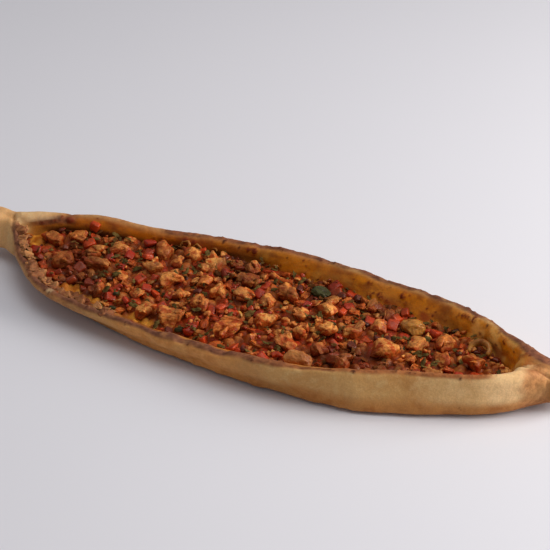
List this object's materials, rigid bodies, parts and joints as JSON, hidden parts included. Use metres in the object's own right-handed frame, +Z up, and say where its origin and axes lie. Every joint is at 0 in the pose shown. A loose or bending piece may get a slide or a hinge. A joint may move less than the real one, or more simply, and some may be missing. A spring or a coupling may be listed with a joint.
{
  "type": "turkish pide",
  "caption": "Boat-shaped baked flatbread with pinched ends and raised browned rims around a filling of chopped chicken, tomato, peppers and herbs.",
  "frame": {"origin": "centre of the bounding box at the base it rests on", "axes": "+X along the boat towards the end with the taller low-side rim, +Y towards the rim that stands up all along, +Z up"},
  "size_m": [0.4256, 0.1254, 0.0327],
  "materials": {
    "crust": null,
    "filling": null,
    "chicken": null,
    "green_pepper": null,
    "yellow_pepper": null
  },
  "bodies": {
    "root": {"crust": "crust", "filling": "filling", "green_pepper": "green_pepper", "yellow_pepper": "yellow_pepper", "pepper_ring": "yellow_pepper", "chicken_dome": "chicken", "chicken_01": "chicken", "chicken_02": "chicken", "chicken_03": "chicken", "chicken_04": "chicken", "chicken_05": "chicken", "chicken_06": "chicken", "chicken_07": "chicken", "chicken_08": "chicken", "chicken_09": "chicken", "chicken_10": "chicken", "chicken_11": "chicken", "chicken_12": "chicken", "chicken_13": "chicken", "chicken_14": "chicken", "chicken_15": "chicken", "chicken_16": "chicken", "chicken_17": "chicken", "chicken_18": "chicken", "chicken_19": "chicken", "chicken_20": "chicken", "chicken_21": "chicken", "chicken_22": "chicken", "chicken_23": "chicken", "chicken_24": "chicken", "chicken_25": "chicken", "chicken_26": "chicken", "chicken_27": "chicken", "chicken_28": "chicken", "chicken_29": "chicken", "chicken_30": "chicken", "chicken_31": "chicken", "chicken_32": "chicken", "chicken_33": "chicken", "chicken_34": "chicken", "chicken_35": "chicken", "chicken_36": "chicken", "chicken_37": "chicken", "chicken_38": "chicken", "chicken_39": "chicken", "chicken_40": "chicken", "chicken_41": "chicken", "chicken_42": "chicken", "chicken_43": "chicken", "chicken_44": "chicken"}
  },
  "joints": []
}
